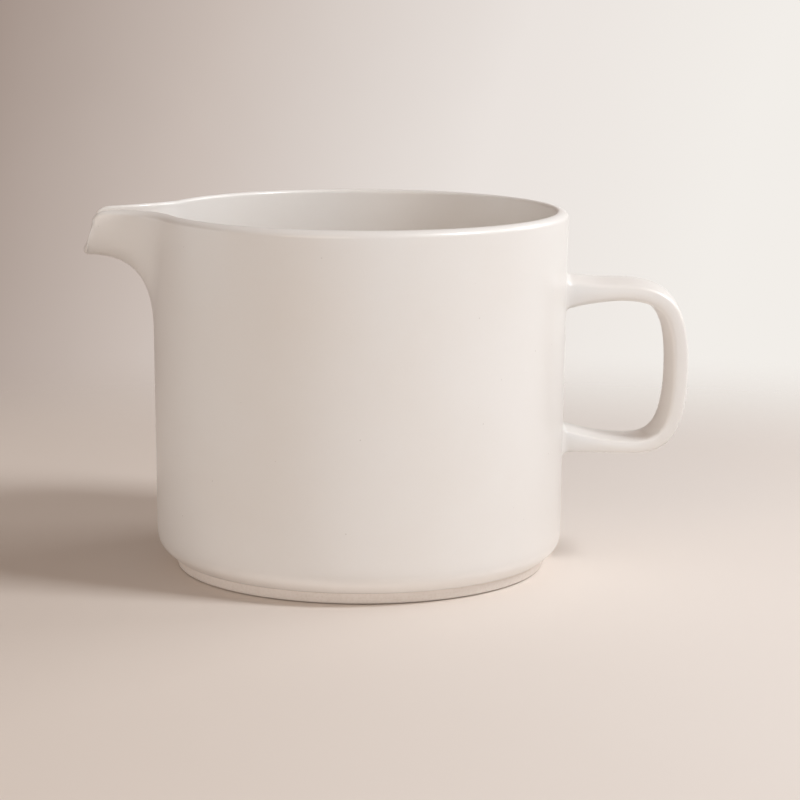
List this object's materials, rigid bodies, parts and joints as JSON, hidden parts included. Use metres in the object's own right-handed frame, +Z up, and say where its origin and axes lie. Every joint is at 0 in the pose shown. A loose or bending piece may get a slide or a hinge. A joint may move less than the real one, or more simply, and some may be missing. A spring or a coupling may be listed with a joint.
{
  "type": "ceramic pitcher",
  "caption": "Straight-sided glazed stoneware pitcher with an open pouring spout, a flat rounded-square strap handle opposite it and a low bare foot ring, for serving and pouring drinks.",
  "frame": {"origin": "on the table, under the middle of the bounding box, at the height of the foot's tread; the body's own axis stands 8.9 mm from it towards -X", "axes": "+Z up, +X from the body towards the handle, -X towards the spout, Y across; the XZ plane is the plane of symmetry"},
  "size_m": [0.1922, 0.1324, 0.115],
  "materials": {
    "glaze": "warm off-white satin glaze with faint throwing rings and a few tiny dark specks",
    "bare_clay": "matt unglazed stoneware, pinkish beige, with fine turning lines"
  },
  "bodies": {
    "root": {"body_wall": "glaze", "base_floor": "glaze", "foot_ring": "bare_clay", "spout": "glaze", "spout_slip": "glaze", "handle": "glaze", "upper_handle_slip": "glaze", "lower_handle_slip": "glaze"}
  },
  "joints": []
}
